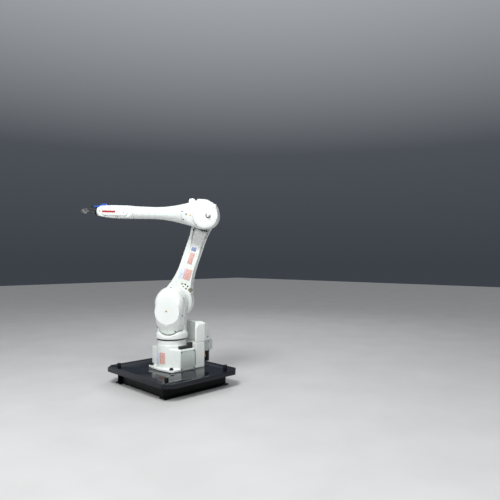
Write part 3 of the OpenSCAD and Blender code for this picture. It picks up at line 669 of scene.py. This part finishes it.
CAP_X, CAP_Z = -46, -16
CAP_RING_Y, CAP_RING_R = 79, 78
CAP_PROFILE = mm((0, 85), (58, 85), (66, 84.2), (76, 80.8), (80.5, 78.6), (82.6, 76.4), (83.2, 74),
                 (83.2, 71), (80, 69.5), (0, 69.5))
assembled("elbow_cap_turned", [(turned("cap", CAP_PROFILE, 128), spot(AT_ELBOW, CAP_X, 0, CAP_Z, "Y"))],
          "elbow", "white_cover", "elbow_cap")
cap_places = [spot(AT_ELBOW, x, CAP_RING_Y, z, "Y") for x, z in six_round(CAP_X, CAP_Z, CAP_RING_R, 15)]
assembled("elbow_cap_screws", screws(3.4, 1.4, cap_places), "elbow", "zinc_screw")

FORK_SCREWS = ((482, 22), (577, -33), (664, -30), (708, 0))
fork_places = [on_surface(fork, AT_ELBOW, x, z, side) for side in (-1, 1) for x, z in FORK_SCREWS]
assembled("fork_screws", screws(3.6, 1.6, fork_places), "forearm", "zinc_screw")
WRIST_PLUG_X, WRIST_COVER_Y, WRIST_PLUG_Z = 534, 51, -4
plug_places = [spot(AT_ELBOW, WRIST_PLUG_X, j * WRIST_COVER_Y, WRIST_PLUG_Z, Y_FACE[j]) for j in (-1, 1)]
assembled("wrist_cover_plugs", screws(4.4, 1.6, plug_places), "forearm", "brass")

LOW_CAP_Y, LOW_CAP_R = -157, 74
HIGH_CAP_Y, HIGH_CAP_R = -156, 50
low_places = [spot(AT_ARM, x, LOW_CAP_Y, z, "-Y") for x, z in six_round(0, 0, LOW_CAP_R, 0)]
high_places = [spot(AT_ARM, x, HIGH_CAP_Y, z, "-Y") for x, z in six_round(0, ARM_LENGTH, HIGH_CAP_R, 30)]
assembled("arm_cap_screws", screws(4, 1.8, low_places) + screws(3.6, 1.6, high_places), "lower_arm",
          "zinc_screw")

# X and Z of the bolts.
UNDER_ELBOW = ((-17, 522), (-33, 526), (-48, 528), (40, 508))
assembled("arm_bolts", screws(5.5, 2.6, [on_surface(arm, AT_ARM, x, z) for x, z in UNDER_ELBOW]),
          "lower_arm", "black_fastener")
assembled("hump_tag", [(slab(24, 11, 1.2, 0.4), on_surface(hump, AT_PLATE, -222, 196))], "base",
          "label_film", material=NAVY_FILM)
# Painted shade: a grey strip on the hump's near face stands in for the shade in a narrow slot.
assembled("hump_slot_shade", [(slab(2.5, 34, 0.6, 0.2), spot(AT_PLATE, -154, 129.6, 204, "Y"))], "base",
          "white_casting", material=MATS["grey_cover"])


def film(name, at, x, z, y, material):
    """A thin film on the X-Z plane of at, between two corners."""
    mesh = slab(x[1] - x[0], z[1] - z[0], 0.7, 0.2)
    assembled(name, [(mesh, spot(at, sum(x) / 2, y, sum(z) / 2, "Y"))], "lower_arm", "label_film",
              "arm_labels", material=material)


AT_SCOOP = spot(AT_ARM, 0, ARM_FACE_Y, 362) @ Matrix.Rotation(math.radians(4.5), 4, "X")
film("arm_label_red", AT_ARM, (-48, 3), (165, 242), ARM_FACE_Y, MATS["label_film"])
film("arm_label_blue", AT_ARM, (3, 34), (163, 240), ARM_FACE_Y, BLUE_FILM)
film("arm_label_upper", AT_ARM, (-26, 7), (275, 357), ARM_FACE_Y, MATS["label_film"])
film("arm_label_navy", AT_SCOOP, (-24, 10), (6, 33), 0, NAVY_FILM)


# ---- Air tube from the wrist to the gripper ----
# X and Z of points along its middle line, in millimetres in the wrist's axes.
TUBE_ROUTE = ((-18, 34), (-18, 40), (-14, 46), (-7, 50), (3, 51.5), (14, 50), (25, 46), (36, 41),
              (47, 37), (59, 35), (72, 34), (86, 34))


def smooth_path(points, steps=6):
    """Points along a curve through all of the given ones."""
    out = []
    for i in range(len(points) - 1):
        p0, p1, p2, p3 = (points[min(max(k, 0), len(points) - 1)] for k in (i - 1, i, i + 1, i + 2))
        for k in range(steps):
            u = k / steps
            out.append(0.5 * (2 * p1 + (p2 - p0) * u + (2 * p0 - 5 * p1 + 4 * p2 - p3) * u * u
                              + (3 * p1 - p0 - 3 * p2 + p3) * u ** 3))
    return out + [points[-1]]


def air_tube():
    path = smooth_path([AT_WRIST @ Vector((x * MM, 0, z * MM)) for x, z in TUBE_ROUTE])
    obj = link("air_tube_hose", mesh_tube("air_tube_hose", path, 0.004, 20))
    obj.data.materials.append(MATS["blue_tube"])
    shade(obj, 50)
    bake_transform(obj)
    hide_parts("air_tube")


air_tube()


# ---- Studio ----
FLOOR_HALF = 14
HIGH_AIM, LOW_AIM = Vector((0, 0, 0.8)), Vector((0, 0, 0.6))
LAMPS = (
    ("key_light", (1.9, 1.2, 3.9), LOW_AIM, 1.3, 125),
    ("side_light", (3.5, 1.3, 2.3), LOW_AIM, 1.6, 54),
    ("fill_light", (0.2, 3.7, 1.5), LOW_AIM, 1.6, 27),
    ("rim_light", (-2.8, -1.6, 3.0), HIGH_AIM, 1.6, 24),
)
SKY = [(0.0, (0.10, 0.115, 0.14)), (0.22, (0.16, 0.18, 0.21)), (0.5, (0.80, 0.83, 0.88)),
       (1.0, (1.0, 1.0, 1.0))]
SKY_STRENGTH = 0.46


def make_floor():
    bm = bmesh.new()
    bmesh.ops.create_grid(bm, x_segments=1, y_segments=1, size=FLOOR_HALF)
    floor = link("studio_floor", mesh_of("studio_floor", bm))
    mat, nt, bsdf, co = new_material("studio_floor", (0.55, 0.55, 0.55), 0.7)
    nt.links.new(grey_ramp(nt, noise(nt, co, 3, 3), 0.52, 0.56), bsdf.inputs["Base Color"])
    floor.data.materials.append(mat)


def make_sky():
    world = bpy.data.worlds.new("studio")
    bpy.context.scene.world = world
    world.use_nodes = True
    nt = world.node_tree
    parts = nt.nodes.new("ShaderNodeSeparateXYZ")
    nt.links.new(nt.nodes.new("ShaderNodeTexCoord").outputs["Generated"], parts.inputs["Vector"])
    nt.links.new(ramp(nt, parts.outputs["Z"], SKY), nt.nodes["Background"].inputs["Color"])
    nt.nodes["Background"].inputs["Strength"].default_value = SKY_STRENGTH


def make_lamp(name, at, target, size, power):
    """A square area lamp, aimed at target."""
    data = bpy.data.lights.new(name, "AREA")
    data.shape = "SQUARE"
    data.size = size
    data.energy = power
    lamp = link(name, data)
    lamp.location = at
    aim(lamp, target - Vector(at))


make_floor()
make_sky()
for lamp in LAMPS:
    make_lamp(*lamp)
scene = bpy.context.scene
scene.view_settings.view_transform = "Standard"
scene.view_settings.look = "None"
